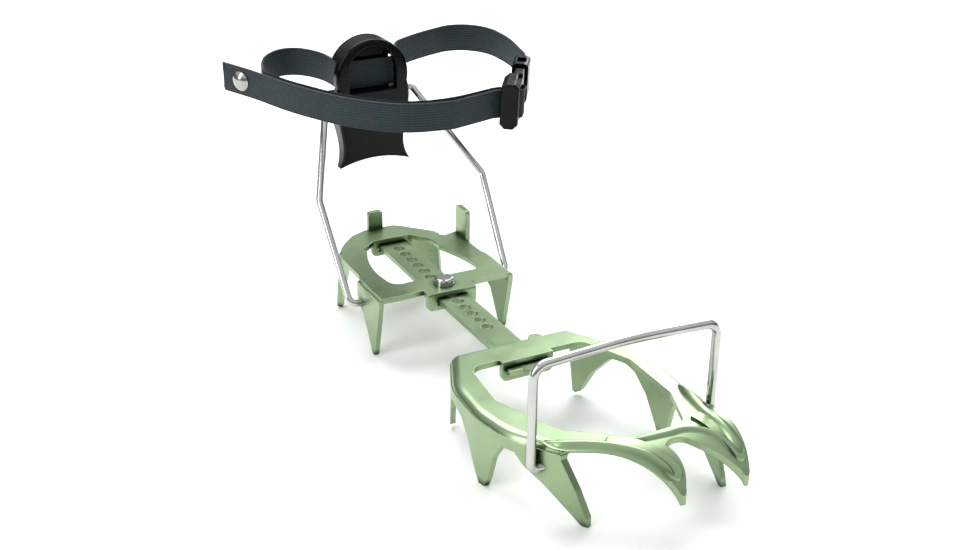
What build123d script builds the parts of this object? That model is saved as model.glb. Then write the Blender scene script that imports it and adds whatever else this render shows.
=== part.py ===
"""Strap-on crampon for the right boot: two aluminium frames on a link bar, two wire bails,
a heel lever and an ankle strap.

X runs across the crampon, -Y points to the toe, +Z is up, and all sizes are mm. z = 0 is the top
face of both frames, where the boot sole rests, and x = 0 is the middle of the link bar. The shapes
are drawn with y = 0 at the bar's first hole, and every part is then moved by ORIGIN_SHIFT, which
puts the origin on the rest face at the back of the front frame.
"""

from build123d import *
import math
import os

os.makedirs("parts", exist_ok=True)

ORIGIN_SHIFT = 30.0

# Sheet metal
SHEET = 2.5
FOLD_R = 4.5
SKIRT_TOP = -3.0
GROUND_Z = -32.5

# Front frame
FRONT_REAR_Y = -24.0
FRONT_FLAT_Y = -116.0
CLAW_BEND_R = 30.0
CLAW_TIP_Y = -142.5
RIB_HEIGHT = 1.1
LEFT_EDGE = [(-31, -24), (-41, -45.5), (-42.5, -70), (-39, -90), (-25.5, -110)]
RIGHT_EDGE = [(31.5, -24), (46.5, -50), (50, -76), (48.2, -98), (48.7, -112)]
EDGE_R = 40.0
LEFT_TOOTH_END = (-18.2, -121.7)
RIGHT_TOOTH_END = (49.2, -124)

# Link bar
BAR_WIDTH = 15.0
BAR_THICK = 2.5
BAR_TOP = -SHEET - 0.4
BAR_REAR_Y = 113.0
BAR_HOLE_R = 2.75
HOLE_PITCH = 7.5
HOLE_COUNT = 14
SCREW_HOLE = 6
SCREW_Y = SCREW_HOLE * HOLE_PITCH
BAR_MID_Z = BAR_TOP - BAR_THICK / 2
HINGE_Y = -37.25
HEAD_GAP = 1.0
HEAD_LENGTH = 3.0
HEAD_HALF = 11.0
HEAD_NOTCH_HALF = 4.5

# Brackets that the link bar passes through
BRACKET_HALF = 12.8
BRACKET_DEPTH = 9.5
WINDOW_HALF = BAR_WIDTH / 2 + 0.4
WINDOW_BOTTOM = BAR_MID_Z - 2.4

# Heel frame
HEEL_REAR_Y = 120.5
HEEL_HALF = 36.0
HEEL_BRACKET_Y = 37.0
REAR_BRACKET_Y = 107.0

# Screw
SCREW_R = 2.5
SCREW_HEAD_R = 4.7
SCREW_HEAD_H = 2.7
WASHER_R = 5.0
WASHER_T = 0.6
NUT_FLATS = 8.0
NUT_H = 4.0

# Front bail
BAIL_WIRE_R = 2.0
BAIL_PIVOT = (-103.0, -11.0)
BAIL_LEFT_X = -34.5
BAIL_RIGHT_X = 51.4
BAIL_RISE = 46.0
BAIL_BOW = 2.2
RUNNING = 0.05

# Heel bail
HEEL_WIRE_R = 1.75
HEEL_PIVOT = (62.5, -10.5)
HEEL_LEAN = 39.0
HEEL_LEG = (-41.8, 43.8)
HEEL_KINK = (-42.8, 47.0)
HEEL_KINK_REACH = 54.0
HEEL_TOP = (-24.6, 22.2)
HEEL_TOP_REACH = 106.5

# Heel lever
LEVER_FRONT_Y = 121.0
LEVER_SLOT_Y = 127.5
LEVER_BACK_Y = 132.8
LEVER_X = -2.2
LEVER_HALF = 19.0
LEVER_TOP_Z = 101.5
LEVER_FOOT_Z = 34.5
LEVER_SLOT_T = 3.4
LEVER_BRIDGE_HALF = 12.0
LEVER_TAPER_Z = 64.0
LEVER_FOOT_T = 4.8

# Ankle strap
STRAP_WIDTH = 15.0
STRAP_THICK = 1.6
STRAP_Z = 82.6
STRAP_SLOPE = 0.07
LEFT_BEND = (-57.2, 129.5)
FRONT_BEND = (-49.5, 112.8)
STRAP_JOIN = ((LEFT_BEND[0] + FRONT_BEND[0]) / 2, (LEFT_BEND[1] + FRONT_BEND[1]) / 2)
FOLD_LENGTH = 7.4
FOLD_OUT = 4.8
TAIL_BEND = (-60.0, 131.0)
TAIL_END = (-70.5, 149.0)
TAIL_RIVET_SHARE = 0.47

# Buckle
BUCKLE_START = (70.5, 98.5)
BUCKLE_TURN = 235.5
BUCKLE_WIDTH = 21.0
BUCKLE_THICK = 8.4
BODY_LENGTH = 14.0
NECK_END = 25.0
NECK_HALF = 8.6
INSERT_END = 46.9
INSERT_IN = -6.0
INSERT_OUT = 3.0
CORE_IN = -1.0
RAIL_START = 31.0
END_BAR = 2.5
INSERT_WIDTH = 23.5
LADDER = (34.4, 40.4)
LADDER_SLOT = 3.0
PRONG_REACH = 10.0
CAVITY_DEPTH = 11.0
CAVITY_HALF = 8.2
CAVITY_THICK = 4.8
RELEASE_GAP = 0.3

# Rivets
TAIL_RIVET_R = 5.0
TAIL_RIVET_DOME = 2.2
LOOP_RIVET_R = 3.2
LOOP_RIVET_DOME = 1.5
LOOP_RIVET_BACK = 3.8
RIVET_SHANK_R = 1.6
RIVET_BACK_T = 0.9

STRAP_PLANE = Plane(origin=(0, LEVER_SLOT_Y, STRAP_Z), x_dir=(1, 0, 0), z_dir=(0, -STRAP_SLOPE, 1))


def on_strap(x, y, turn=0):
    """A plane at a point of the strap: its x follows the webbing and its z is the width."""
    return STRAP_PLANE * Pos(x, y - LEVER_SLOT_Y, 0) * Rot(0, 0, turn)


def block(x0, x1, y0, y1, z0, z1):
    """An axis-aligned box between two corners."""
    size = (x1 - x0, y1 - y0, z1 - z0)
    middle = ((x0 + x1) / 2, (y0 + y1) / 2, (z0 + z1) / 2)
    return Pos(*middle) * Box(*size)


def rod(start, direction, radius, length):
    """A cylinder from start along direction."""
    return extrude(Plane(origin=start, z_dir=direction) * Circle(radius), length)


def slab(face, bottom, top):
    """A face in the XY plane, made solid between two heights."""
    return extrude(Pos(0, 0, bottom) * face, top - bottom)


def wall_plate(face_yz, x0, x1):
    """A face drawn as (y, z), made solid between two values of x."""
    return extrude(Plane(origin=(x0, 0, 0), x_dir=(0, 1, 0), z_dir=(1, 0, 0)) * face_yz, x1 - x0)


def rounded_polygon(points, radius):
    return make_face(FilletPolyline(*points, radius=radius, close=True))


def ribbon(points, radius, thickness, width):
    """Webbing that stands on edge along a path in the strap's plane."""
    local = [(x, y - LEVER_SLOT_Y) for x, y in points]
    path = FilletPolyline(*local, radius=radius)
    return extrude(STRAP_PLANE * trace(path, thickness), width / 2, both=True)


# ---------------------------------------------------------------- front frame

def folded_cap(left, right, y_rear, y_front):
    """The flat top with both long edges folded down to the skirt, before any cut-out."""
    reach = 15
    left_side = FilletPolyline(*extended(left, reach), radius=EDGE_R)
    right_side = FilletPolyline(*extended(right, reach), radius=EDGE_R)
    front = Line(left_side @ 1, right_side @ 1)
    rear = Line(right_side @ 0, left_side @ 0)
    outer = slab(make_face(Wire([*left_side.edges(), front, *right_side.edges(), rear])), -12, 0)
    outer = fillet(long_edges(outer, 0), FOLD_R)
    by_height = outer.faces().sort_by(Axis.Z)
    ends = outer.faces().filter_by(Plane.XY, reverse=True).sort_by(Axis.Y)
    cap = offset(outer, amount=-SHEET, openings=[by_height[0], ends[0], ends[-1]])
    return cap & block(-90, 90, y_front, y_rear, -8, 1)


def extended(points, reach):
    """A polyline lengthened at both ends."""
    (x0, y0), (x1, y1) = points[0], points[1]
    (xa, ya), (xb, yb) = points[-2], points[-1]
    head = math.hypot(x1 - x0, y1 - y0)
    tail = math.hypot(xb - xa, yb - ya)
    first = (x0 - (x1 - x0) / head * reach, y0 - (y1 - y0) / head * reach)
    last = (xb + (xb - xa) / tail * reach, yb + (yb - ya) / tail * reach)
    return [first, *points[1:-1], last]


def long_edges(solid, height):
    """The top edges that run lengthwise, without the two end edges."""
    top = solid.edges().filter_by_position(Axis.Z, height - 0.01, height + 0.01)
    ends = [top.sort_by(Axis.Y)[0], top.sort_by(Axis.Y)[-1]]
    return [edge for edge in top if edge not in ends]


def curved_sheet(thickness, top):
    """Sheet that is flat to the front bar and then bends down over the toe points."""
    reach = math.asin((FRONT_FLAT_Y - CLAW_TIP_Y + 1) / CLAW_BEND_R)
    bend = (FRONT_FLAT_Y, -CLAW_BEND_R)

    def arc(radius):
        def at(angle):
            return (bend[0] - radius * math.sin(angle), bend[1] + radius * math.cos(angle))
        return at(0), at(reach / 2), at(reach)

    high = arc(CLAW_BEND_R + top)
    low = arc(CLAW_BEND_R + top - thickness)
    start = (FRONT_REAR_Y - 60, top)
    profile = make_face(Wire([
        Line(start, high[0]),
        ThreePointArc(*high),
        Line(high[2], low[2]),
        ThreePointArc(*reversed(low)),
        Line(low[0], (start[0], top - thickness)),
        Line((start[0], top - thickness), start),
    ]))
    return wall_plate(profile, -60, 80)


def toe_outline():
    """Plan of the front bar and the two toe points."""
    left_side = Spline((-25.5, -109.5), (-14.5, -114.6), (-7, -119.8), (-1, -125.6), (4, -131.4),
                       (10.8, -140.4))
    left_tip = ThreePointArc((10.8, -140.4), (12.6, -141.7), (14.4, -140))
    left_in = Spline((14.4, -140), (16.6, -133.4), (15.8, -128), (14.2, -124.8))
    notch = ThreePointArc((14.2, -124.8), (19.5, -122.4), (26, -125.6))
    right_in = Spline((26, -125.6), (30.5, -130), (36, -135.2), (41.4, -140.2))
    right_tip = ThreePointArc((41.4, -140.2), (43.2, -141.5), (44.9, -139.8))
    right_out = Spline((44.9, -139.8), (47.2, -132.6), (48.4, -122), (48.6, -109))
    back = Polyline((48.6, -109), (40, -100), (-12, -98), (-25.5, -109.5))
    edges = [left_side, left_tip, left_in, notch, right_in, right_tip, right_out, *back.edges()]
    return make_face(Wire(edges))


def toe_rib(points, width):
    """Pressed rib along the middle of a toe point, closed by a round end."""
    path = FilletPolyline(*points, radius=14)
    plan = trace(path, width) + Pos(*points[-1]) * Circle(width / 2)
    return curved_sheet(SHEET + RIB_HEIGHT, RIB_HEIGHT) & slab(plan, -40, 5)


def skirt_profile():
    """Side view, as (y, z), of what is left of the side skirt: three teeth."""
    points = [
        (-24.2, SKIRT_TOP), (-27.3, -30.2), (-28.6, -30.8), (-30.4, -28.5), (-35, -18.5),
        (-43, -8.4), (-49, -7.4), (-56, -10), (-64, -17.5), (-70.6, -28.5), (-73, GROUND_Z),
        (-76.6, GROUND_Z), (-79, -27), (-82, -16), (-87.5, -7), (-92, -6.4), (-97, -12.8),
        (-104.5, -18.5), (-118.6, -31.9), (-119.6, GROUND_Z), (-121.4, GROUND_Z),
        (-120.6, -29), (-116.2, -17), (-110.6, -5), (-110.6, SKIRT_TOP),
    ]
    return make_face(Polyline(*points, close=True))


def tooth_wall(edge, tooth_end, side):
    """Folded-down skirt that follows one edge of the frame."""
    path = Wire(FilletPolyline(*edge[:-1], tooth_end, radius=EDGE_R).edges())
    band = trace(path.offset_2d(SHEET / 2, side=side, closed=False), SHEET)
    wall = slab(band, GROUND_Z - 1, SKIRT_TOP)
    return wall & wall_plate(skirt_profile(), -90, 90)


def bracket(y, drop, x_half):
    """Folded-down tab across the link bar, with the window that the bar runs through."""
    tab = make_face(FilletPolyline((-x_half, -1), (-x_half, -drop), (x_half, -drop), (x_half, -1),
                                   radius=(0, 2.5, 2.5, 0), close=True))
    plane = Plane(origin=(0, y + SHEET / 2, 0), x_dir=(1, 0, 0), z_dir=(0, -1, 0))
    solid = extrude(plane * tab, SHEET)
    window = block(-WINDOW_HALF, WINDOW_HALF, y - 4, y + 4, WINDOW_BOTTOM, -SHEET)
    return solid - window


def make_front_frame():
    cap = folded_cap(LEFT_EDGE, RIGHT_EDGE, FRONT_REAR_Y, -110.4)
    opening = rounded_polygon([(-27.5, -35.8), (-14.5, -35.8), (29, -36), (39, -60), (38.5, -92),
                               (30, -115), (6, -116), (-19, -97), (-30.5, -66)], 7)
    bridge = block(-BRACKET_HALF, BRACKET_HALF, -38.5, -30, -SHEET, 0)
    cap = cap - slab(opening, -20, 5) + bridge
    toe = curved_sheet(SHEET, 0) & slab(toe_outline(), -40, 5)
    toe = toe - slab(opening, -20, 5)
    lug = slab(Pos(12, FRONT_REAR_Y) * Circle(3.4), -SHEET, 0)
    frame = cap + toe + lug + bracket(HINGE_Y, BRACKET_DEPTH, BRACKET_HALF)
    frame += toe_rib([(-6, -113.2), (3, -121), (12, -135.4)], 5.5)
    frame += toe_rib([(36.5, -113), (39, -124), (42.8, -135.2)], 5.5)
    frame += tooth_wall(LEFT_EDGE, LEFT_TOOTH_END, Side.LEFT)
    frame += tooth_wall(RIGHT_EDGE, RIGHT_TOOTH_END, Side.RIGHT)
    pivot = Plane(origin=(-60, *BAIL_PIVOT), z_dir=(1, 0, 0))
    return frame - extrude(pivot * Circle(BAIL_WIRE_R + RUNNING), 130)


# ---------------------------------------------------------------- link bar and screw

def make_link_bar():
    low = BAR_TOP - BAR_THICK
    head_back = HINGE_Y - SHEET / 2 - HEAD_GAP
    outline = FilletPolyline(
        (-BAR_WIDTH / 2, BAR_REAR_Y), (-BAR_WIDTH / 2, head_back), (-HEAD_HALF, head_back),
        (-HEAD_HALF, head_back - HEAD_LENGTH), (HEAD_HALF, head_back - HEAD_LENGTH),
        (HEAD_HALF, head_back), (BAR_WIDTH / 2, head_back), (BAR_WIDTH / 2, BAR_REAR_Y),
        radius=(2, 0, 0.8, 0.8, 0.8, 0.8, 0, 2), close=True)
    bar = slab(make_face(outline), low, BAR_TOP)
    bar -= block(-HEAD_NOTCH_HALF, HEAD_NOTCH_HALF, head_back - HEAD_LENGTH - 1,
                 head_back - 1, low - 1, BAR_TOP + 1)
    for index in range(HOLE_COUNT):
        bar -= Pos(0, index * HOLE_PITCH, BAR_MID_Z) * Cylinder(BAR_HOLE_R, BAR_THICK + 2)
    return bar


def make_adjusting_screw():
    head = Pos(0, SCREW_Y, WASHER_T + SCREW_HEAD_H / 2) * Cylinder(SCREW_HEAD_R, SCREW_HEAD_H)
    head = fillet(head.edges().sort_by(Axis.Z)[-1], 1.2)
    slot = block(-SCREW_HEAD_R, SCREW_HEAD_R, -0.6, 0.6, 0, 2)
    head -= Pos(0, SCREW_Y, WASHER_T + SCREW_HEAD_H - 1.2) * Rot(0, 0, 62) * slot
    shank_end = BAR_TOP - BAR_THICK - NUT_H - 1.6
    return head + rod((0, SCREW_Y, shank_end), (0, 0, 1), SCREW_R, WASHER_T - shank_end)


def make_washer():
    ring = Circle(WASHER_R) - Circle(SCREW_R + RUNNING)
    return extrude(Pos(0, SCREW_Y, 0) * ring, WASHER_T)


def make_lock_nut():
    top = BAR_TOP - BAR_THICK - 0.35
    hexagon = RegularPolygon(NUT_FLATS / 2, 6, major_radius=False)
    nut = extrude(Pos(0, SCREW_Y, top - NUT_H) * hexagon, NUT_H)
    return nut - rod((0, SCREW_Y, top - NUT_H - 1), (0, 0, 1), SCREW_R + RUNNING, NUT_H + 2)


# ---------------------------------------------------------------- heel frame

def heel_outline():
    """Plan of the heel frame between its folds."""
    right = [(HEEL_HALF, 41.5), (HEEL_HALF, 62), (33.3, 72), (33.3, 99), (26, 97), (23.4, 99.5),
             (23.4, 103.8), (10, 118.2)]
    rear = [(7, HEEL_REAR_Y), (-9.5, HEEL_REAR_Y)]
    left = [(-17.9, 116.6), (-24.6, 109.9), (-29.5, 103.5), (-33.3, 92), (-33.3, 72), (-HEEL_HALF, 62),
            (-HEEL_HALF, 41.5)]
    front = [(-26, 41), (-BRACKET_HALF, 41.6), (-BRACKET_HALF, 36), (BRACKET_HALF, 36),
             (BRACKET_HALF, 41.6), (26, 42)]
    return make_face(Polyline(*right, *rear, *left, *front, close=True))


def heel_opening():
    rear_arc = ThreePointArc((17.5, 87), (2, 108.2), (-18.5, 95))
    left = Spline((-18.5, 95), (-22.6, 84), (-24.6, 70), (-23.5, 57.5))
    left_corner = ThreePointArc((-23.5, 57.5), (-21.5, 54.2), (-16, 53.2))
    front = Line((-16, 53.2), (19, 52.6))
    right_corner = ThreePointArc((19, 52.6), (23.2, 54.3), (24.2, 58))
    right = Spline((24.2, 58), (23.2, 68), (20.6, 78), (17.5, 87))
    return make_face(Wire([rear_arc, left, left_corner, front, right_corner, right]))


def heel_tooth_profile():
    """Side view, as (y, z), of a front tooth of the heel frame."""
    points = [(41.3, -1), (41.5, -5), (47.6, GROUND_Z + 1.2), (48.5, GROUND_Z), (49.8, GROUND_Z),
              (50.9, GROUND_Z + 1.4), (60.3, -15.6), (63.6, -13.9), (66.6, -11.6), (67.6, -8.5), (67.6, -1)]
    return make_face(Polyline(*points, close=True))


def rear_tooth(start, end, tip_out):
    """Tooth folded down from a rear corner, along the edge from start to end."""
    run = Vector(*end) - Vector(*start)
    along = run.normalized()
    out = Vector(along.Y, -along.X)
    if out.Y < 0:
        out = out * -1
    lean = math.atan2(tip_out, -GROUND_Z)
    down = Vector(out.X * math.sin(lean), out.Y * math.sin(lean), -math.cos(lean))
    length = (-GROUND_Z - 2) / math.cos(lean)
    plane = Plane(origin=(*start, -1.2), x_dir=(along.X, along.Y, 0), z_dir=along3(along).cross(down))
    width = run.length
    face = make_face(Polyline((0, 0), (width, 0), (width * 0.82, length * 0.3),
                              (width * 0.42, length * 0.75), (width * 0.3, length),
                              (width * 0.08, length), (0, length * 0.86), close=True))
    return extrude(plane * face, SHEET / 2, both=True)


def along3(vector):
    return Vector(vector.X, vector.Y, 0)


def post(x, y, width, height, facing):
    """Upright tab at the edge of the heel frame that keeps the boot in place."""
    tab = make_face(FilletPolyline((-width / 2, -SHEET), (width / 2, -SHEET), (width / 2, height),
                                   (-width / 2, height), radius=(0, 0, 1.8, 1.8), close=True))
    plane = Plane(origin=(x, y, 0), x_dir=(-facing[1], facing[0], 0), z_dir=(*facing, 0))
    return extrude(plane * tab, SHEET)


def make_heel_frame():
    plate = slab(heel_outline(), -SHEET, 0) - slab(heel_opening(), -5, 5)
    plate -= Pos(-16.2, 98.2, 0) * Rot(0, 0, 35) * Box(5, 4.2, 8)
    for side in (-1, 1):
        wall_x = sorted((side * HEEL_HALF, side * (HEEL_HALF - SHEET)))
        plate += wall_plate(heel_tooth_profile(), *wall_x)
    plate = fillet(plate.edges().filter_by(Axis.Y).filter_by_position(Axis.Z, -0.01, 0.01)
                   .filter_by(lambda edge: abs(abs(edge.center().X) - HEEL_HALF) < 0.01), 2.0)
    plate += rear_tooth((24.6, 102.2), (11.6, 116.2), 5.5)
    plate += rear_tooth((-30.4, 100.6), (-19.6, 113), 2.5)
    plate += post(-3, HEEL_REAR_Y - 0.4, 8, 9.5, (0, 1))
    plate += post(33.3 - 0.4, 92.6, 11.5, 15.5, (1, 0))
    plate += bracket(HEEL_BRACKET_Y, BRACKET_DEPTH - 0.7, BRACKET_HALF)
    plate += bracket(REAR_BRACKET_Y, BRACKET_DEPTH - 0.7, BRACKET_HALF - 1.5)
    plate += Pos(0, REAR_BRACKET_Y + 1, -SHEET / 2) * Box(2 * BRACKET_HALF - 3, 4.5, SHEET)
    pivot = Plane(origin=(-60, *HEEL_PIVOT), z_dir=(1, 0, 0))
    plate -= extrude(pivot * Circle(HEEL_WIRE_R + RUNNING), 120)
    return plate - rod((0, SCREW_Y, -8), (0, 0, 1), SCREW_R + RUNNING, 10)


# ---------------------------------------------------------------- bails

def swept_wire(path, radius):
    section = Plane(origin=path @ 0, z_dir=path % 0) * Circle(radius)
    return sweep(section, path=path)


def make_front_bail():
    y, z = BAIL_PIVOT
    top = z + BAIL_RISE
    middle = (BAIL_LEFT_X + BAIL_RIGHT_X) / 2
    points = [(-25.4, y, z), (BAIL_LEFT_X, y, z), (BAIL_LEFT_X, y, top),
              (middle, y, top + BAIL_BOW), (BAIL_RIGHT_X, y, top), (BAIL_RIGHT_X, y, z), (43.5, y, z)]
    path = Wire(FilletPolyline(*points, radius=(3, 6, 300, 6, 2.3)).edges())
    return swept_wire(path, BAIL_WIRE_R)


def bail_point(x, reach):
    lean = math.radians(HEEL_LEAN)
    return (x, HEEL_PIVOT[0] + reach * math.sin(lean), HEEL_PIVOT[1] + reach * math.cos(lean))


def make_heel_bail():
    inner = HEEL_HALF - SHEET - 2
    rising = [bail_point(-inner, 0), bail_point(HEEL_LEG[0], 0),
              bail_point(HEEL_KINK[0], HEEL_KINK_REACH), bail_point(HEEL_TOP[0], HEEL_TOP_REACH)]
    falling = [bail_point(HEEL_TOP[1], HEEL_TOP_REACH), bail_point(HEEL_KINK[1], HEEL_KINK_REACH),
               bail_point(HEEL_LEG[1], 0), bail_point(inner, 0)]
    path = Wire(FilletPolyline(*rising, *falling, radius=(4, 9, 4, 4, 9, 4)).edges())
    return swept_wire(path, HEEL_WIRE_R)


# ---------------------------------------------------------------- heel lever

def lever_outline():
    """Front view, as (x, z): arched head, waist and flared foot with a hollow lower edge."""
    arch = ThreePointArc((LEVER_HALF, 78), (0, LEVER_TOP_Z), (-LEVER_HALF, 78))
    left = Spline((-LEVER_HALF, 78), (-18.6, 60), (-16.6, 45), (-18.6, LEVER_FOOT_Z + 1))
    foot = ThreePointArc((-18.6, LEVER_FOOT_Z + 1), (0, LEVER_FOOT_Z + 4.5), (20.5, LEVER_FOOT_Z + 1))
    right = Spline((20.5, LEVER_FOOT_Z + 1), (16.8, 45), (18.6, 60), (LEVER_HALF, 78))
    return Pos(LEVER_X, 0) * make_face(Wire([arch, left, foot, right]))


def make_heel_lever():
    face = Plane(origin=(0, LEVER_BACK_Y, 0), x_dir=(1, 0, 0), z_dir=(0, -1, 0))
    depth = LEVER_BACK_Y - LEVER_FRONT_Y
    body = extrude(face * lever_outline(), depth)
    body = fillet(body.faces().sort_by(Axis.Y)[0].edges(), 1.6)
    sill = STRAP_Z - STRAP_WIDTH / 2 - 0.6
    lintel = STRAP_Z + STRAP_WIDTH / 2 + 0.8
    slot_front = LEVER_SLOT_Y - LEVER_SLOT_T / 2
    slot_back = LEVER_SLOT_Y + LEVER_SLOT_T / 2
    window = make_face(Wire([Line((13, lintel - 6), (13, sill)), Line((13, sill), (-13, sill)),
                             Line((-13, sill), (-13, lintel - 6)),
                             ThreePointArc((-13, lintel - 6), (0, LEVER_TOP_Z - 3.4), (13, lintel - 6))]))
    slot_plane = Plane(origin=(LEVER_X, slot_back, 0), x_dir=(1, 0, 0), z_dir=(0, -1, 0))
    recess = extrude(slot_plane * window, depth)
    body -= recess
    body -= block(-30, 30, slot_front, slot_back, sill, lintel)
    for side in (-1, 1):
        x0, x1 = sorted((LEVER_X + side * LEVER_BRIDGE_HALF, side * 30))
        body -= block(x0, x1, slot_front, LEVER_BACK_Y + 1, sill, lintel)
    foot_back = LEVER_FRONT_Y + LEVER_FOOT_T
    clear_y = LEVER_BACK_Y + 3
    clear_z = LEVER_FOOT_Z - 3
    wedge = make_face(Polyline((LEVER_BACK_Y, LEVER_TAPER_Z), (clear_y, LEVER_TAPER_Z), (clear_y, clear_z),
                               (foot_back, clear_z), close=True))
    body -= wall_plate(wedge, LEVER_X - 30, LEVER_X + 30)
    pivot = bail_point(0, HEEL_TOP_REACH)
    return body - rod((-30, pivot[1], pivot[2]), (1, 0, 0), HEEL_WIRE_R + RUNNING, 60)


# ---------------------------------------------------------------- ankle strap

def beside_buckle(reach, out):
    """Point at a distance along the buckle, and out from its middle plane."""
    turn = math.radians(BUCKLE_TURN)
    return (BUCKLE_START[0] + math.cos(turn) * reach - math.sin(turn) * out,
            BUCKLE_START[1] + math.sin(turn) * reach + math.cos(turn) * out)


def shank_hole(place):
    return place * Rot(90, 0, 0) * Cylinder(RIVET_SHANK_R, 8)


def make_strap_rear():
    """From the buckle body round the back, through the lever and to the left side."""
    half = STRAP_THICK / 2
    points = [beside_buckle(0, half), beside_buckle(-9.6, half), (77.8, 114), (80.5, 131), (77.5, 151.5),
              (62, 161.5), (38, 155), (20, 146.5), (13, 127.5), (-17.6, 127.5), (-20, 146.5),
              (-34, 159.5), (-51, 150), LEFT_BEND, STRAP_JOIN]
    radii = (8, 12, 30, 12, 12, 30, 12, 5, 5, 10, 12, 12, 12)
    return ribbon(points, radii, STRAP_THICK, STRAP_WIDTH) - shank_hole(LOOP_PLACE)


def make_strap_fold():
    """End of the rear webbing, folded back behind the buckle body and riveted."""
    fold = Pos(-FOLD_LENGTH / 2, -STRAP_THICK / 2, 0) * Box(FOLD_LENGTH, STRAP_THICK, STRAP_WIDTH)
    return BUCKLE_PLACE * fold - shank_hole(LOOP_PLACE)


def make_strap_front():
    """Round the front of the ankle, through the buckle insert and back along the outside."""
    near, far = LADDER
    points = [STRAP_JOIN, FRONT_BEND, (-31.8, 85.4), (-9, 67.8), (14, 64.9), beside_buckle(41.6, -9.9),
              beside_buckle(38.2, -3.9), beside_buckle(near, -3.7), beside_buckle(near, FOLD_OUT),
              beside_buckle(far, FOLD_OUT), beside_buckle(far, -2.2), beside_buckle(44.2, -9.1),
              (14, 62.2), (-10, 65.5), (-34, 84), (-52, 112), TAIL_BEND, TAIL_END]
    radii = (20, 20, 30, 12, 4, 1, 1, 1.6, 1.6, 1, 4, 12, 30, 20, 20, 12)
    return ribbon(points, radii, STRAP_THICK, STRAP_WIDTH) - shank_hole(TAIL_PLACE)


def rivet_head(place, radius, dome, offset_y):
    """Domed head with its shank, on the outer face of the webbing."""
    ball_r = (radius ** 2 + dome ** 2) / (2 * dome)
    ball = Pos(0, 0, dome - ball_r) * Sphere(ball_r)
    cap = ball & Pos(0, 0, dome / 2) * Cylinder(radius + 1, dome)
    shank = Pos(0, 0, -abs(offset_y)) * Cylinder(RIVET_SHANK_R, 2 * abs(offset_y))
    return place * Pos(0, offset_y, 0) * Rot(90 if offset_y < 0 else -90, 0, 0) * (cap + shank)


def rivet_back(place, radius, offset_y):
    back = Pos(0, 0, RIVET_BACK_T / 2) * Cylinder(radius, RIVET_BACK_T)
    return place * Pos(0, offset_y, 0) * Rot(90 if offset_y < 0 else -90, 0, 0) * back


# ---------------------------------------------------------------- buckle

def buckle_box(x0, x1, half_z, thick):
    """A box in the buckle's frame: x along the buckle, z across the webbing."""
    return Pos((x0 + x1) / 2, 0, 0) * Box(x1 - x0, thick, 2 * half_z)


def offset_box(x0, x1, inner, outer, half_z):
    """A box in the buckle's frame that lies between two distances out from its middle plane."""
    return Pos(0, (inner + outer) / 2, 0) * buckle_box(x0, x1, half_z, outer - inner)


def make_buckle_body():
    body = buckle_box(0, BODY_LENGTH, BUCKLE_WIDTH / 2, BUCKLE_THICK)
    body = fillet(body.edges().filter_by(Axis.X), 2.4)
    body = fillet(body.faces().sort_by(Axis.X)[0].edges(), 1.2)
    body -= buckle_box(BODY_LENGTH - CAVITY_DEPTH, BODY_LENGTH + 1, CAVITY_HALF, CAVITY_THICK)
    for side in (-1, 1):
        grip = Pos(BODY_LENGTH - 6.5, 0, side * BUCKLE_WIDTH / 2)
        body -= grip * Box(6, CAVITY_THICK, 8)
    return BUCKLE_PLACE * body


def make_buckle_insert():
    start = BODY_LENGTH + RELEASE_GAP
    half = INSERT_WIDTH / 2
    prong_thick = CAVITY_THICK - 2 * RELEASE_GAP
    frame = offset_box(RAIL_START, INSERT_END, INSERT_IN, INSERT_OUT, half)
    frame = chamfer(frame.edges().filter_by(Axis.X), 2.4)
    frame = fillet(frame.faces().sort_by(Axis.X)[-1].edges(), 0.9)
    frame -= offset_box(RAIL_START - 1, INSERT_END - END_BAR, INSERT_IN - 1, CORE_IN, CAVITY_HALF)
    frame += offset_box(NECK_END - 1, RAIL_START, CORE_IN, INSERT_OUT, half)
    frame += offset_box(start, NECK_END, -prong_thick / 2, prong_thick / 2, NECK_HALF)
    half_slot = LADDER_SLOT / 2
    for x in LADDER:
        frame -= offset_box(x - half_slot, x + half_slot, CORE_IN - 1, INSERT_OUT + 1, CAVITY_HALF)
    for side in (-1, 1):
        arm = Pos(start - PRONG_REACH / 2 + 1, 0, side * 6.2) * Box(PRONG_REACH + 2, prong_thick, 2.4)
        catch = Pos(start - PRONG_REACH + 3, 0, side * 6.4) * Box(6, prong_thick, 2.8)
        frame += arm + catch
    return BUCKLE_PLACE * frame


BUCKLE_PLACE = on_strap(*BUCKLE_START, BUCKLE_TURN)
TAIL_RUN = (TAIL_END[0] - TAIL_BEND[0], TAIL_END[1] - TAIL_BEND[1])
TAIL_RIVET = (TAIL_BEND[0] + TAIL_RIVET_SHARE * TAIL_RUN[0],
              TAIL_BEND[1] + TAIL_RIVET_SHARE * TAIL_RUN[1])
TAIL_TURN = math.degrees(math.atan2(TAIL_RUN[1], TAIL_RUN[0]))
TAIL_PLACE = on_strap(*TAIL_RIVET, TAIL_TURN)
LOOP_PLACE = BUCKLE_PLACE * Pos(-LOOP_RIVET_BACK, 0, 0)

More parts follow.
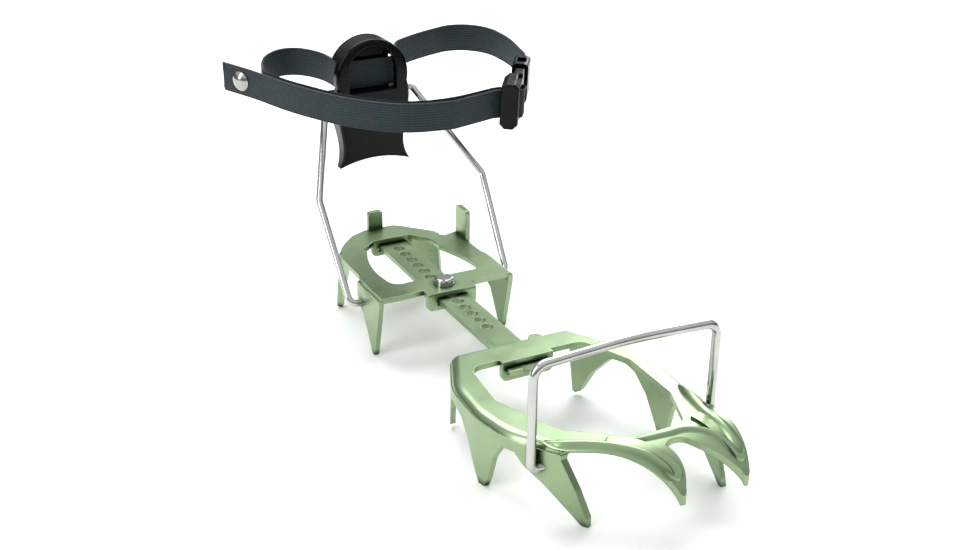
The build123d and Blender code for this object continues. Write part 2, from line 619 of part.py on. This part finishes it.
NODES = {
    "front_frame": make_front_frame,
    "front_bail": make_front_bail,
    "link_bar": make_link_bar,
    "heel_frame": make_heel_frame,
    "adjusting_screw": make_adjusting_screw,
    "washer": make_washer,
    "lock_nut": make_lock_nut,
    "heel_bail": make_heel_bail,
    "heel_lever": make_heel_lever,
    "strap_rear": make_strap_rear,
    "strap_fold": make_strap_fold,
    "strap_front": make_strap_front,
    "tail_rivet_head": lambda: rivet_head(TAIL_PLACE, TAIL_RIVET_R, TAIL_RIVET_DOME, STRAP_THICK / 2),
    "tail_rivet_back": lambda: rivet_back(TAIL_PLACE, TAIL_RIVET_R - 1.2, -STRAP_THICK / 2),
    "loop_rivet_head": lambda: rivet_head(LOOP_PLACE, LOOP_RIVET_R, LOOP_RIVET_DOME, -STRAP_THICK),
    "loop_rivet_back": lambda: rivet_back(LOOP_PLACE, LOOP_RIVET_R - 0.6, STRAP_THICK),
    "buckle_body": make_buckle_body,
    "buckle_insert": make_buckle_insert,
}

for name, maker in NODES.items():
    export_step(Pos(0, ORIGIN_SHIFT, 0) * maker(), f"parts/{name}.step")
    print(name)
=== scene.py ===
# %% [markdown]
# # A strap-on crampon
# A crampon bites into ice and hard snow under a walking boot. This one has two toothed frames of folded
# aluminium sheet, a perforated bar between them, a steel wire bail at each end, a plastic lever for the
# heel and a woven ankle strap with a side-release buckle. The metal and plastic shapes were drawn in CAD
# and arrive here as finished meshes. This lesson gives them their surfaces and weaves the strap anew.

# %% Load the measured model
import math

import bmesh
import bpy
from mathutils import Matrix, Vector


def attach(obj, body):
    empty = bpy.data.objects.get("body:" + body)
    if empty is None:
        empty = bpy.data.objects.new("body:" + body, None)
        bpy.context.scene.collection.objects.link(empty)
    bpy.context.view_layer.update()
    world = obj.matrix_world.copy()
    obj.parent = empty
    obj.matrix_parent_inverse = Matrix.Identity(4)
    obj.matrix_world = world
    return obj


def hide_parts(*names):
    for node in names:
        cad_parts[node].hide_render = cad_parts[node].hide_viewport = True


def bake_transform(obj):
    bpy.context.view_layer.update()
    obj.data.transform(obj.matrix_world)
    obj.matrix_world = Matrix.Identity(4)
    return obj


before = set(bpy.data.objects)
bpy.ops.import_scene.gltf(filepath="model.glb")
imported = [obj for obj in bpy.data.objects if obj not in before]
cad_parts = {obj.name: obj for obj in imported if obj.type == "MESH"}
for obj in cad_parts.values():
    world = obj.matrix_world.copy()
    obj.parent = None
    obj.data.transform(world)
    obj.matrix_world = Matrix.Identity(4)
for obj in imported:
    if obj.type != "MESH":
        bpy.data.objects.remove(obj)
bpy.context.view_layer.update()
MM = 0.001

# %% [markdown]
# ## The camera
# The camera stands in front of the toe, to the left, and looks down by about 25 degrees. A camera is
# easiest to place from numbers that a person can picture: the point it looks at, how far it stands away,
# and its angles. From these the script builds the three axes of the camera and puts them in a matrix.

# %% Place the camera
LOOK_AT = Vector((23.8, 73.5, 0)) * MM
DISTANCE = 712 * MM
AZIMUTH = math.radians(-28.12)
ELEVATION = math.radians(25.18)
ROLL = math.radians(0.88)
FOCAL_SHARE = 1453 / 978

backward = Vector((math.sin(AZIMUTH) * math.cos(ELEVATION), -math.cos(AZIMUTH) * math.cos(ELEVATION),
                   math.sin(ELEVATION)))
level_right = Vector((math.cos(AZIMUTH), math.sin(AZIMUTH), 0))
level_up = backward.cross(level_right)
right = level_right * math.cos(ROLL) + level_up * math.sin(ROLL)
up = level_up * math.cos(ROLL) - level_right * math.sin(ROLL)

camera_data = bpy.data.cameras.new("camera")
camera_data.sensor_width = 36
camera_data.lens = camera_data.sensor_width * FOCAL_SHARE
camera = bpy.data.objects.new("camera", camera_data)
turned = Matrix((right, up, backward)).transposed().to_4x4()
camera.matrix_world = Matrix.Translation(LOOK_AT + backward * DISTANCE) @ turned
bpy.context.scene.collection.objects.link(camera)
bpy.context.scene.camera = camera
print("camera at", [round(v, 3) for v in camera.location], "lens", round(camera_data.lens, 1), "mm")

# %% [markdown]
# ## Helpers for materials
# A material in Blender is a small network of nodes. Three helpers keep the later cells short. One turns
# the colour codes that people read, such as #A9C684, into the linear values that light is added up in.
# One adds a node with its settings and its links. One starts a material with the shader it ends in.

# %% Material helpers
def linear(code):
    """Linear RGBA of an sRGB hex colour."""
    parts = [int(code[i:i + 2], 16) / 255 for i in (1, 3, 5)]
    return [p / 12.92 if p <= 0.04045 else ((p + 0.055) / 1.055) ** 2.4 for p in parts] + [1]


def add(tree, kind, inputs=None, **settings):
    """Adds one node. An input is a value, or the output socket that feeds it."""
    made = tree.nodes.new(kind)
    for key, value in settings.items():
        setattr(made, key, value)
    for key, value in (inputs or {}).items():
        if isinstance(value, bpy.types.NodeSocket):
            tree.links.new(value, made.inputs[key])
        else:
            made.inputs[key].default_value = value
    return made


def start_material(name, **values):
    """A material with only its shader: returns the material, its node tree and the shader."""
    material = bpy.data.materials.new(name)
    material.use_nodes = True
    shader = material.node_tree.nodes["Principled BSDF"]
    for key, value in values.items():
        shader.inputs[key.replace("_", " ")].default_value = value
    return material, material.node_tree, shader


def dress(material, *nodes):
    """Gives CAD nodes their finish through their material slots."""
    for name in nodes:
        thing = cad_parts[name]
        if not thing.material_slots:
            thing.data.materials.append(material)
        for material_slot in thing.material_slots:
            material_slot.link = "OBJECT"
            material_slot.material = material
    print(material.name, "on", ", ".join(nodes))


# %% [markdown]
# ## Green anodised aluminium
# The frames and the bar are pressed from aluminium sheet, tumbled so that no edge cuts, then blasted with
# fine grit and anodised in a light green. Anodising is a clear dyed oxide over bare metal: it reflects like
# metal, in its own colour, and the blasting spreads the reflection to a satin. The eye notices three things:
# a soft grain, slow changes of tone over a hand's width, and a paler line where the tumbling and the snow
# have worn the edges. Holes and inner corners are darkened with painted shade, found by an Ambient Occlusion
# node. The grit is about 0.2 mm, too fine to show, so the grain is drawn at 0.6 mm. The
# Bevel node finds the edges: where its rounded normal leaves the true one, the surface is near an edge.

# %% Anodised sheet
GRAIN_MM = 0.6
CLOUD_MM = 45
SCUFF_MM = 9
CORNER_MM = 4
EDGE_MM = 0.5


def edge_mask(tree, radius, soft):
    """1 at the edges and 0 on open faces, with the rounded normal that it came from."""
    bevel = add(tree, "ShaderNodeBevel", {"Radius": radius}, samples=6)
    flat = add(tree, "ShaderNodeNewGeometry")
    same = add(tree, "ShaderNodeVectorMath", {0: bevel.outputs["Normal"], 1: flat.outputs["Normal"]},
               operation="DOT_PRODUCT")
    mask = add(tree, "ShaderNodeMapRange", {0: same.outputs["Value"], 1: 1 - soft, 2: 1, 3: 1, 4: 0})
    return mask.outputs[0], bevel.outputs["Normal"]


def anodised_sheet():
    material, tree, shader = start_material("anodised_aluminium_blasted_green", Metallic=1, Roughness=0.30)
    place = add(tree, "ShaderNodeTexCoord").outputs["Object"]
    cloud = add(tree, "ShaderNodeTexNoise", {"Vector": place, "Scale": 1000 / CLOUD_MM, "Detail": 3})
    grain = add(tree, "ShaderNodeTexNoise", {"Vector": place, "Scale": 1000 / GRAIN_MM, "Detail": 2})
    scuff = add(tree, "ShaderNodeTexNoise", {"Vector": place, "Scale": 1000 / SCUFF_MM, "Detail": 4})
    mask, rounded = edge_mask(tree, EDGE_MM * MM, 0.25)
    tone = add(tree, "ShaderNodeMix", {0: cloud.outputs["Fac"], 6: linear("#8EA57F"), 7: linear("#9AAE8C")},
               data_type="RGBA")
    # Painted shade: where Ambient Occlusion finds holes and inner corners, a dark green is painted into the
    # colour.
    corner = add(tree, "ShaderNodeAmbientOcclusion", {"Distance": CORNER_MM * MM}, samples=6)
    open_share = add(tree, "ShaderNodeMapRange", {0: corner.outputs["AO"], 1: 0.55, 2: 0.95, 3: 0, 4: 1})
    hollows_painted_shade = add(tree, "ShaderNodeMix", {0: open_share.outputs[0], 6: linear("#2B4323"), 7: tone.outputs[2]},
               data_type="RGBA")
    patchy = add(tree, "ShaderNodeMapRange", {0: scuff.outputs["Fac"], 1: 0.4, 2: 0.65, 3: 0.2, 4: 0.55})
    rubbed = add(tree, "ShaderNodeMath", {0: mask, 1: patchy.outputs[0]}, operation="MULTIPLY")
    worn = add(tree, "ShaderNodeMath", {0: rubbed.outputs[0], 1: open_share.outputs[0]}, operation="MULTIPLY")
    colour = add(tree, "ShaderNodeMix", {0: worn.outputs[0], 6: hollows_painted_shade.outputs[2], 7: linear("#C6D2BB")},
                 data_type="RGBA")
    gloss = add(tree, "ShaderNodeMapRange", {0: scuff.outputs["Fac"], 1: 0.3, 2: 0.7, 3: 0.27, 4: 0.33})
    bump = add(tree, "ShaderNodeBump", {"Strength": 0.07, "Distance": 0.05 * MM, "Height": grain.outputs["Fac"],
                                        "Normal": rounded})
    tree.links.new(colour.outputs[2], shader.inputs["Base Color"])
    tree.links.new(gloss.outputs[0], shader.inputs["Roughness"])
    tree.links.new(bump.outputs[0], shader.inputs["Normal"])
    return material


green_sheet = anodised_sheet()
dress(green_sheet, "front_frame", "heel_frame", "link_bar")

# %% [markdown]
# ## The pressed ridges at the toe
# The front bar and the two toe points are stiffened by ridges that the press has pushed up from below.
# They run out of the flat bar, round the bend and down each point. Each is a low hump laid over the sheet:
# a cross-section in the shape of one cosine wave is carried along a smooth line, lower and narrower at
# both ends, and its rims dip just under the sheet so that no seam shows. The sheet itself is flat as far
# as the bend line and then follows a 30 mm arc, which one small function works out.

# %% Ridges
BEND_Y = -86.0
BEND_R = 30.0
RIM_DIP = 0.12
RISE_SHARE, FALL_SHARE = 0.3, 0.12
END_WIDTH = 0.25


def sheet_top(y):
    """Height of the sheet's top face, in mm."""
    ahead = min(max(BEND_Y - y, 0), BEND_R)
    return math.sqrt(BEND_R ** 2 - ahead ** 2) - BEND_R


def smooth_line(points, parts):
    """A Catmull-Rom curve through the points."""
    padded = [points[0]] + points + [points[-1]]
    line = []
    for a, b, c, d in zip(padded, padded[1:], padded[2:], padded[3:]):
        a, b, c, d = (Vector(p) for p in (a, b, c, d))
        for k in range(parts):
            t = k / parts
            line.append(0.5 * (2 * b + (c - a) * t + (2 * a - 5 * b + 4 * c - d) * t ** 2
                               + (3 * b - a - 3 * c + d) * t ** 3))
    line.append(Vector(points[-1]))
    return line


def ridge(name, points, width, height, material):
    """A hump over the sheet along a line of (x, y) points in mm."""
    line = smooth_line(points, 8)
    across_steps = 12
    vertices, faces = [], []
    for index, point in enumerate(line):
        before, after = line[max(index - 1, 0)], line[min(index + 1, len(line) - 1)]
        along = (after - before).normalized()
        side = Vector((-along.y, along.x))
        share = index / (len(line) - 1)
        rise = math.sin(math.pi * min(share / RISE_SHARE, 1) / 2)
        swell = rise * math.sin(math.pi * min((1 - share) / FALL_SHARE, 1) / 2)
        half = width / 2 * (END_WIDTH + (1 - END_WIDTH) * swell)
        for k in range(across_steps + 1):
            reach = 2 * k / across_steps - 1
            spot = point + side * (half * reach)
            lift = height * swell * math.cos(math.pi * reach / 2) ** 2 - RIM_DIP
            slope = max(BEND_Y - spot.y, 0) / BEND_R
            normal = Vector((0, -slope, math.sqrt(max(1 - slope ** 2, 0.01))))
            vertices.append((Vector((spot.x, spot.y, sheet_top(spot.y))) + normal * lift) * MM)
    row = across_steps + 1
    for index in range(len(line) - 1):
        for k in range(across_steps):
            first = index * row + k
            faces.append((first, first + row, first + row + 1, first + 1))
    mesh = bpy.data.meshes.new(name)
    mesh.from_pydata(vertices, [], faces)
    form = bmesh.new()
    form.from_mesh(mesh)
    bmesh.ops.recalc_face_normals(form, faces=form.faces)
    form.to_mesh(mesh)
    form.free()
    for face in mesh.polygons:
        face.use_smooth = True
    mesh.materials.append(material)
    piece = bpy.data.objects.new(name, mesh)
    bpy.context.scene.collection.objects.link(piece)
    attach(piece, "front_section")
    print(name, len(vertices), "vertices")
    return piece


ridge("left_toe_ridge", [(-28.5, -72), (-24, -78), (-14, -83.5), (-4, -90.5), (4.5, -98), (11.5, -107.5)],
      7.5, 2.6, green_sheet)
ridge("right_toe_ridge", [(45.5, -58), (43.6, -70), (42, -82), (42.4, -94), (43.2, -107)],
      8, 2.6, green_sheet)
ridge("front_bar_ridge", [(-8, -82.5), (4, -87.6), (18, -89.1), (27, -89.4), (34, -93), (39, -99), (42.8,
                                                                                                    -107)],
      5, 1.6, green_sheet)

# %% [markdown]
# ## Steel wire and bright steel
# The bails are bent from drawn stainless wire. Drawing pulls the wire through a die and leaves fine lines
# along it, so its highlight is a long streak that is a little soft. The screw, its washer, the nut and the
# rivets are turned or pressed and then plated: smoother and brighter, with light handling marks. Both are
# plain metals, so only the colour, the roughness and the bump differ.

# %% Steel finishes
def steel(name, base, low, high, line_mm, depth):
    """Bare or plated steel whose roughness runs between two values over fine marks."""
    material, tree, shader = start_material(name, Metallic=1, Roughness=(low + high) / 2)
    place = add(tree, "ShaderNodeTexCoord").outputs["Object"]
    marks = add(tree, "ShaderNodeTexNoise", {"Vector": place, "Scale": 1000 / line_mm, "Detail": 4})
    haze = add(tree, "ShaderNodeTexNoise", {"Vector": place, "Scale": 1000 / 18, "Detail": 2})
    tone = add(tree, "ShaderNodeMix", {0: haze.outputs["Fac"], 6: linear(base), 7: linear("#D9D9D4")},
               data_type="RGBA")
    gloss = add(tree, "ShaderNodeMapRange", {0: marks.outputs["Fac"], 1: 0.3, 2: 0.7, 3: low, 4: high})
    bump = add(tree, "ShaderNodeBump", {"Strength": depth, "Distance": 0.03 * MM,
                                        "Height": marks.outputs["Fac"]})
    tree.links.new(tone.outputs[2], shader.inputs["Base Color"])
    tree.links.new(gloss.outputs[0], shader.inputs["Roughness"])
    tree.links.new(bump.outputs[0], shader.inputs["Normal"])
    return material


wire = steel("stainless_wire_drawn", "#A9A9A9", 0.14, 0.22, 2.5, 0.04)
plated = steel("steel_plated_bright", "#7C7D7B", 0.12, 0.22, 3.0, 0.04)
dress(wire, "front_bail", "heel_bail")
dress(plated, "adjusting_screw", "washer", "lock_nut", "tail_rivet_head", "tail_rivet_back",
      "loop_rivet_head", "loop_rivet_back")

# %% [markdown]
# ## Moulded plastic
# The lever and the buckle are moulded in acetal, a hard plastic that stays tough in the cold. Here it is
# almost black with a hint of blue-green. A polished mould leaves a half gloss with a very fine orange peel,
# and handling leaves pale scuffs along the edges. Acetal's refractive index is 1.48. Its mirror is held
# below the usual strength here, so that the white room doesn't turn the black to grey.

# %% Acetal
def moulded_acetal():
    material, tree, shader = start_material("acetal_moulded_black", Roughness=0.26, IOR=1.48,
                                            Specular_IOR_Level=0.2)
    place = add(tree, "ShaderNodeTexCoord").outputs["Object"]
    peel = add(tree, "ShaderNodeTexNoise", {"Vector": place, "Scale": 1000 / 1.2, "Detail": 2})
    scuff = add(tree, "ShaderNodeTexNoise", {"Vector": place, "Scale": 1000 / 5, "Detail": 5, "Roughness": 0.7})
    mask, rounded = edge_mask(tree, 0.8 * MM, 0.3)
    patchy = add(tree, "ShaderNodeMapRange", {0: scuff.outputs["Fac"], 1: 0.48, 2: 0.68, 3: 0, 4: 0.5})
    worn = add(tree, "ShaderNodeMath", {0: mask, 1: patchy.outputs[0]}, operation="MULTIPLY")
    colour = add(tree, "ShaderNodeMix", {0: worn.outputs[0], 6: linear("#010607"), 7: linear("#131C1D")},
                 data_type="RGBA")
    gloss = add(tree, "ShaderNodeMapRange", {0: scuff.outputs["Fac"], 1: 0.3, 2: 0.7, 3: 0.2, 4: 0.3})
    bump = add(tree, "ShaderNodeBump", {"Strength": 0.05, "Distance": 0.05 * MM, "Height": peel.outputs["Fac"],
                                        "Normal": rounded})
    tree.links.new(colour.outputs[2], shader.inputs["Base Color"])
    tree.links.new(gloss.outputs[0], shader.inputs["Roughness"])
    tree.links.new(bump.outputs[0], shader.inputs["Normal"])
    return material


acetal = moulded_acetal()
dress(acetal, "heel_lever", "buckle_body", "buckle_insert")

# %% [markdown]
# ## The line that the webbing follows
# Webbing 15 mm wide stands on edge round the ankle, so its line can be drawn flat, on a plane that slopes
# a little up towards the heel. A route is a list of corners with the largest radius each may have. Where a
# corner has room, its arc takes nearly half of both runs, so the arcs join into one easy curve. Only where
# the webbing turns hard, in the lever and round the bars of the buckle, does a small radius hold it tight.

# %% Route helpers
WIDTH_MM = 15.0
THICK_MM = 1.6
SLOPE = 0.07
SLOT = Vector((0, 157.5, 82.6))
ALONG_Y = Vector((0, 1, SLOPE)).normalized()
ACROSS = Vector((0, -SLOPE, 1)).normalized()
BUCKLE_START = Vector((70.5, 128.5))
BUCKLE_TURN = math.radians(235.5)
EASY = 400


def on_plane(point):
    """A flat (x, y) in mm as a place on the strap's plane, in metres."""
    return (SLOT + Vector((point[0], 0, 0)) + ALONG_Y * (point[1] - SLOT.y)) * MM


def at_buckle(reach, out):
    """A point so far along the buckle and so far out from its middle plane."""
    along = Vector((math.cos(BUCKLE_TURN), math.sin(BUCKLE_TURN)))
    return tuple(BUCKLE_START + along * reach + Vector((-along.y, along.x)) * out)


def rounded_route(corners, radii):
    """Points along the corners' line, with an arc of up to the stated radius at each one."""
    points = [Vector(c) for c in corners]
    route = [points[0]]
    for before, corner, after, radius in zip(points, points[1:], points[2:], radii):
        arriving = (corner - before).normalized()
        leaving = (after - corner).normalized()
        turn = arriving.angle_signed(leaving)
        room = 0.49 * min((corner - before).length, (after - corner).length)
        cut = min(radius * math.tan(abs(turn) / 2), room)
        steps = max(3, int(abs(math.degrees(turn)) / 5))
        size = cut / math.tan(abs(turn) / 2)
        side = Vector((-arriving.y, arriving.x)) * (-1 if turn > 0 else 1)
        centre = corner - arriving * cut + side * size
        spoke = corner - arriving * cut - centre
        for step in range(steps + 1):
            route.append(centre + Matrix.Rotation(-turn * step / steps, 2) @ spoke)
    route.append(points[-1])
    return route


test_route = rounded_route([(0, 0), (10, 0), (10, 10)], [4])
print("test corner ends", [round(v, 2) for v in test_route[1]], [round(v, 2) for v in test_route[-2]])

# %% [markdown]
# ## Webbing as a mesh
# Webbing could be a curve with a bevel, but the weave has to follow its length and its width, and for that
# a mesh with its own UV map is best. The section is a flat bar with round edges. A ring of it stands at
# each point of the route, and neighbouring rings are joined by quads. U is the length and V the height
# across the width, both in metres, so that the weave's threads can be sized in millimetres.

# %% Webbing mesh
RING_MM = 4
SAME_MM = 0.02


def webbing_section():
    """Outline of the webbing's section as (out, across) in mm, with round edges."""
    half_w, half_t, edge = WIDTH_MM / 2, THICK_MM / 2, 0.6
    ring = []
    for across, out, first in ((half_w - edge, half_t - edge, 0), (-half_w + edge, half_t - edge, 270),
                               (-half_w + edge, -half_t + edge, 180), (half_w - edge, -half_t + edge, 90)):
        angles = [math.radians(first + step) for step in (90, 60, 30, 0)]
        ring += [(out + edge * math.sin(a), across + edge * math.cos(a)) for a in angles]
    return ring


def evened(route, step):
    """The same line with a point at least every step."""
    result = [route[0]]
    for a, b in zip(route, route[1:]):
        parts = max(1, int((b - a).length / step))
        result += [a.lerp(b, k / parts) for k in range(1, parts + 1)]
    return result


def webbing(name, corners, radii, material):
    """One length of webbing along a route."""
    route = []
    for point in evened(rounded_route(corners, radii), RING_MM):
        if not route or (point - route[-1]).length > SAME_MM:
            route.append(point)
    section = webbing_section()
    mesh = bpy.data.meshes.new(name)
    form = bmesh.new()
    uv = form.loops.layers.uv.new("weave")
    rings, lengths, run = [], [], 0
    for index, point in enumerate(route):
        before = route[max(index - 1, 0)]
        after = route[min(index + 1, len(route) - 1)]
        along = (after - before).normalized()
        out = Vector((-along.y, along.x))
        run += (point - before).length
        lengths.append(run * MM)
        rings.append([form.verts.new(on_plane(point + out * t) + ACROSS * (w * MM)) for t, w in section])
    for index in range(len(rings) - 1):
        for k in range(len(section)):
            j = (k + 1) % len(section)
            corners_of = ((index, k), (index, j), (index + 1, j), (index + 1, k))
            face = form.faces.new([rings[r][s] for r, s in corners_of])
            face.smooth = True
            for loop, (r, s) in zip(face.loops, corners_of):
                loop[uv].uv = (lengths[r], section[s][1] * MM)
    for ring, length in ((rings[0], lengths[0]), (rings[-1], lengths[-1])):
        cap = form.faces.new(ring)
        for loop, (t, w) in zip(cap.loops, section):
            loop[uv].uv = (length + t * MM, w * MM)
    bmesh.ops.recalc_face_normals(form, faces=form.faces)
    form.to_mesh(mesh)
    form.free()
    mesh.materials.append(material)
    piece = bpy.data.objects.new(name, mesh)
    bpy.context.scene.collection.objects.link(piece)
    firm = piece.modifiers.new("even_shading", "WEIGHTED_NORMAL")
    firm.keep_sharp = True
    print(name, "is", round(lengths[-1] * 1000), "mm long")
    return piece


# %% [markdown]
# ## Woven polyester
# Strap webbing is a dense plain weave. The threads that run along it, the warp, stand up in short floats
# about 1.3 mm apart across the width, and a weft thread crosses them every 1.05 mm or so. From arm's length
# that reads as a fine grid of slate-blue floats with dark gaps; the dark in the gaps is painted shade. Two
# waves, one along U and one along V, draw it: their product is high in the middle of a float and low in the
# gaps, and it drives both the colour and the bump. Dyed yarn is never quite even, so a soft noise shifts the
# tone. The selvedge at both edges is a closer weave, a shade paler, and polyester has a slight sheen.

# %% Webbing material
WEFT_MM = 1.05
WARP_MM = 1.3


def woven_polyester():
    material, tree, shader = start_material("polyester_webbing_woven_slate", Roughness=0.75, IOR=1.57,
                                            Sheen_Weight=0.08, Sheen_Roughness=0.4)
    split = add(tree, "ShaderNodeSeparateXYZ", {0: add(tree, "ShaderNodeUVMap", uv_map="weave").outputs[0]})
    place = add(tree, "ShaderNodeTexCoord").outputs["Object"]
    crests = []
    for socket, pitch in ((split.outputs["X"], WEFT_MM), (split.outputs["Y"], WARP_MM)):
        turns = add(tree, "ShaderNodeMath", {0: socket, 1: 2 * math.pi * 1000 / pitch}, operation="MULTIPLY")
        wave = add(tree, "ShaderNodeMath", {0: turns.outputs[0]}, operation="SINE")
        crests.append(add(tree, "ShaderNodeMapRange", {0: wave.outputs[0], 1: -1, 2: 0.5, 3: 0,
                                                       4: 1}).outputs[0])
    float_high = add(tree, "ShaderNodeMath", {0: crests[0], 1: crests[1]}, operation="MULTIPLY")
    fuzz = add(tree, "ShaderNodeTexNoise", {"Vector": place, "Scale": 1000 / 0.5, "Detail": 2})
    tone = add(tree, "ShaderNodeTexNoise", {"Vector": place, "Scale": 1000 / 14, "Detail": 3})
    lifted = add(tree, "ShaderNodeMath", {0: fuzz.outputs["Fac"], 1: 0.35, 2: float_high.outputs[0]},
                 operation="MULTIPLY_ADD")
    shade = add(tree, "ShaderNodeMapRange", {0: lifted.outputs[0], 1: 0.15, 2: 1.2, 3: 0, 4: 1})
    yarn = add(tree, "ShaderNodeMix", {0: tone.outputs["Fac"], 6: linear("#17343C"), 7: linear("#28464F")},
               data_type="RGBA")
    # Painted shade: the gaps between the floats are darkened to near-black in the colour.
    yarn_with_painted_gap_shade = add(tree, "ShaderNodeMix", {0: shade.outputs[0], 6: linear("#010809"), 7: yarn.outputs[2]},
                data_type="RGBA")
    height = add(tree, "ShaderNodeMath", {0: split.outputs["Y"]}, operation="ABSOLUTE")
    edge = add(tree, "ShaderNodeMapRange", {0: height.outputs[0], 1: 6.9 * MM, 2: 7.3 * MM, 3: 0, 4: 0.8})
    colour = add(tree, "ShaderNodeMix", {0: edge.outputs[0], 6: yarn_with_painted_gap_shade.outputs[2], 7: linear("#36343F")},
                 data_type="RGBA")
    bump = add(tree, "ShaderNodeBump", {"Strength": 0.7, "Distance": 0.22 * MM, "Height": lifted.outputs[0]})
    tree.links.new(colour.outputs[2], shader.inputs["Base Color"])
    tree.links.new(bump.outputs[0], shader.inputs["Normal"])
    return material


polyester = woven_polyester()

# %% [markdown]
# ## The ankle strap
# The strap is two lengths of webbing. The rear one is riveted to the buckle's body, goes round the back of
# the leg, through the lever, and joins the front one at the left side. The front one goes round the shin
# into the buckle's other half, folds over its middle bar, and comes back on the outside as the free tail
# that tightens it. When the buckle opens, the front run has to follow it while its far end stays behind;
# here it belongs to neither body and stays where it is drawn. The tail just moves with the buckle.

# %% Weave the strap
HALF = THICK_MM / 2
NEAR_SLOT, FAR_SLOT, FOLD_OUT = 34.4, 40.4, 4.8
LEFT_BEND, FRONT_BEND = (-57.2, 159.5), (-49.5, 142.8)
JOIN = ((LEFT_BEND[0] + FRONT_BEND[0]) / 2, (LEFT_BEND[1] + FRONT_BEND[1]) / 2)

rear_corners = [at_buckle(0, HALF), at_buckle(-9.6, HALF), (77.8, 144), (80.5, 161), (77.5, 181.5), (62, 191.5),
                (38, 185), (20, 176.5), (13, 157.5), (-17.6, 157.5), (-20, 176.5), (-34, 189.5), (-51, 180),
                LEFT_BEND, JOIN]
rear_radii = [8, EASY, EASY, EASY, EASY, EASY, 12, 5, 5, EASY, EASY, EASY, EASY]
rear_webbing = webbing("rear_webbing", rear_corners, rear_radii, polyester)
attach(rear_webbing, "lever")
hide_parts("strap_rear")

fold_corners = [at_buckle(0, -HALF), at_buckle(-3.7, -HALF), at_buckle(-7.4, -HALF - 0.05)]
fold_webbing = webbing("riveted_fold", fold_corners, [EASY], polyester)
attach(fold_webbing, "lever")
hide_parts("strap_fold")

front_corners = [JOIN, FRONT_BEND, (-31.8, 115.4), (-9, 97.8), (14, 94.9), at_buckle(41.6, -9.9),
                 at_buckle(38.2, -3.9), at_buckle(NEAR_SLOT, -3.7), at_buckle(NEAR_SLOT, 0.5)]
front_radii = [EASY, EASY, EASY, EASY, 12, 4, 1, 1.1]
front_webbing = webbing("front_webbing", front_corners, front_radii, polyester)
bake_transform(front_webbing)
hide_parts("strap_front")

tail_corners = [at_buckle(NEAR_SLOT, 0), at_buckle(NEAR_SLOT, FOLD_OUT), at_buckle(FAR_SLOT, FOLD_OUT),
                at_buckle(FAR_SLOT, -2.2), at_buckle(44.2, -9.1), (14, 92.2), (-10, 95.5), (-34, 114),
                (-52, 142), (-60, 161), (-70.5, 179)]
tail_radii = [1.8, 1.8, 1.2, 4, 12, EASY, EASY, EASY, EASY]
tail_webbing = webbing("tail_webbing", tail_corners, tail_radii, polyester)
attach(tail_webbing, "insert")

# %% [markdown]
# ## Floor and light
# The crampon stands on its teeth on a pale matt floor. Metal shows what surrounds it, so the lights are
# large soft boxes: a wide one overhead that whitens the flat tops, a tall one at the left that draws long
# highlights down the folded edges, and a weaker one behind at the right that rims the wires. The room
# round them fades from dark at the horizon to nearly white overhead. That fade gives the green its darker
# tones where the sheet turns down.

# %% Stage
GROUND = -32.5 * MM


def matt_floor():
    material, tree, shader = start_material("painted_board_matt", Roughness=0.75)
    place = add(tree, "ShaderNodeTexCoord").outputs["Object"]
    speck = add(tree, "ShaderNodeTexNoise", {"Vector": place, "Scale": 8, "Detail": 2})
    tone = add(tree, "ShaderNodeMix", {0: speck.outputs["Fac"], 6: linear("#F4F4F2"), 7: linear("#F7F7F6")},
               data_type="RGBA")
    tree.links.new(tone.outputs[2], shader.inputs["Base Color"])
    return material


floor_mesh = bpy.data.meshes.new("floor")
REACH = 6
floor_mesh.from_pydata([(-REACH, -REACH, GROUND), (REACH, -REACH, GROUND), (REACH, REACH, GROUND),
                        (-REACH, REACH, GROUND)], [], [(0, 1, 2, 3)])
floor_mesh.materials.append(matt_floor())
floor = bpy.data.objects.new("floor", floor_mesh)
bpy.context.scene.collection.objects.link(floor)


def softbox(name, place, size, power):
    """An area light that looks at the middle of the crampon."""
    data = bpy.data.lights.new(name, "AREA")
    data.shape = "RECTANGLE"
    data.size, data.size_y = size
    data.energy = power
    lamp = bpy.data.objects.new(name, data)
    lamp.location = place
    lamp.rotation_euler = (Vector((0, 0.05, 0.02)) - Vector(place)).to_track_quat("-Z", "Y").to_euler()
    bpy.context.scene.collection.objects.link(lamp)


softbox("overhead_box", (0.2, 0.9, 1.4), (1.5, 0.9), 23)
softbox("left_box", (-1.3, -0.1, 0.8), (0.4, 1.2), 9)
softbox("rear_right_box", (1.1, 1.1, 0.7), (0.5, 1.0), 7)

world = bpy.data.worlds.new("studio")
bpy.context.scene.world = world
world.use_nodes = True
sky = world.node_tree
height = add(sky, "ShaderNodeSeparateXYZ", {0: add(sky, "ShaderNodeTexCoord").outputs["Generated"]})
room = add(sky, "ShaderNodeValToRGB", {0: height.outputs["Z"]})
for stop, code in ((0.0, "#59605C"), (0.14, "#555C58"), (0.36, "#C2C8C6"), (0.8, "#ECEEEF")):
    element = room.color_ramp.elements[0] if stop == 0 else room.color_ramp.elements.new(stop)
    element.position = stop
    element.color = linear(code)
room.color_ramp.elements[-1].color = linear("#FFFFFF")
sky.links.new(room.outputs[0], sky.nodes["Background"].inputs["Color"])
sky.nodes["Background"].inputs["Strength"].default_value = 1.0
bpy.context.scene.view_settings.view_transform = "Standard"
